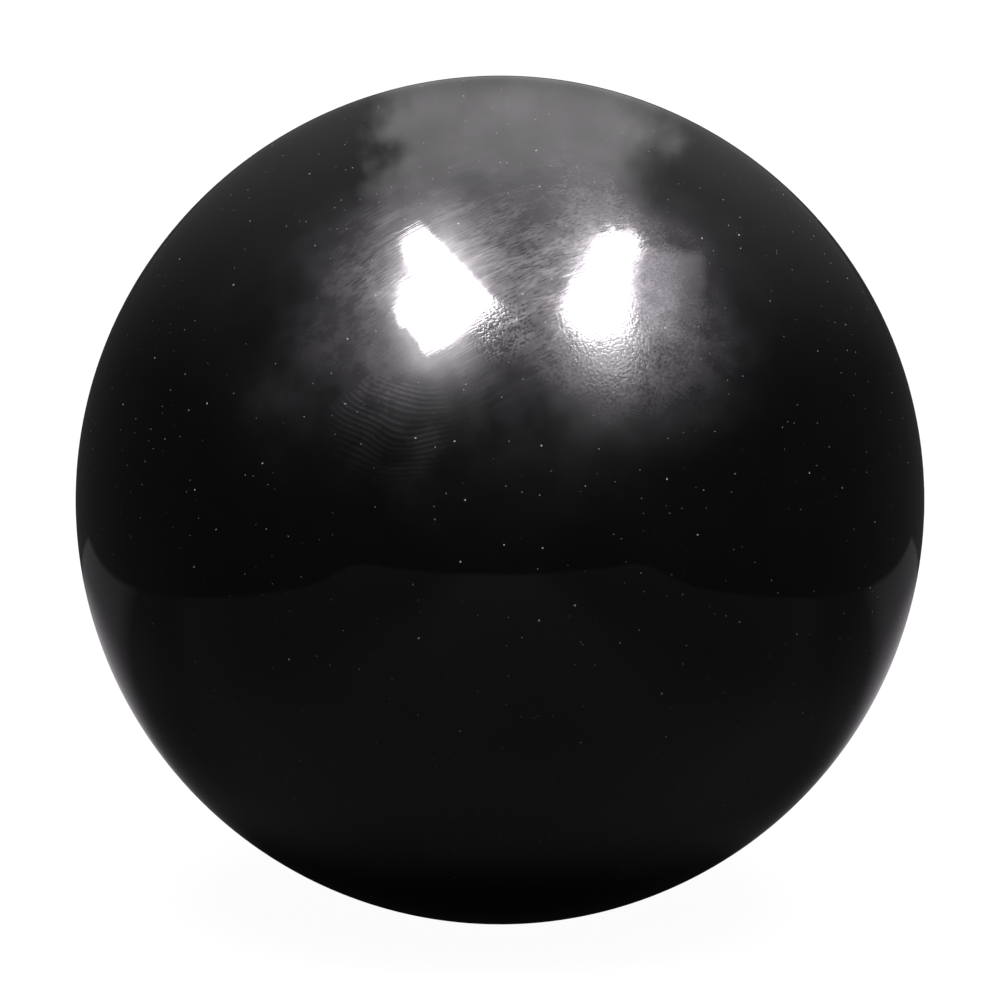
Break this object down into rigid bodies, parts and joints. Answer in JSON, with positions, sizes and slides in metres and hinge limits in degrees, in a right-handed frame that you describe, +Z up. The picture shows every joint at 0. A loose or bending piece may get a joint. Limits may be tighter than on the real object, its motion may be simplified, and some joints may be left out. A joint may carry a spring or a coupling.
{
  "type": "cue ball",
  "caption": "Plain black polished billiard ball: a filled-resin core in a cast-resin cover, struck by the cue and rolled on the table.",
  "frame": {"origin": "the ball's centre, which is also its centre of mass", "axes": "+Z up, square to the plane z = 0 on which the two halves of the cover meet; the ball looks the same from every side"},
  "size_m": [0.0572, 0.0572, 0.0572],
  "materials": {
    "core": "matte",
    "cover_upper": "polished",
    "cover_lower": "polished"
  },
  "bodies": {
    "root": {"core": "core", "cover_upper": "cover_upper", "cover_lower": "cover_lower"}
  },
  "joints": []
}
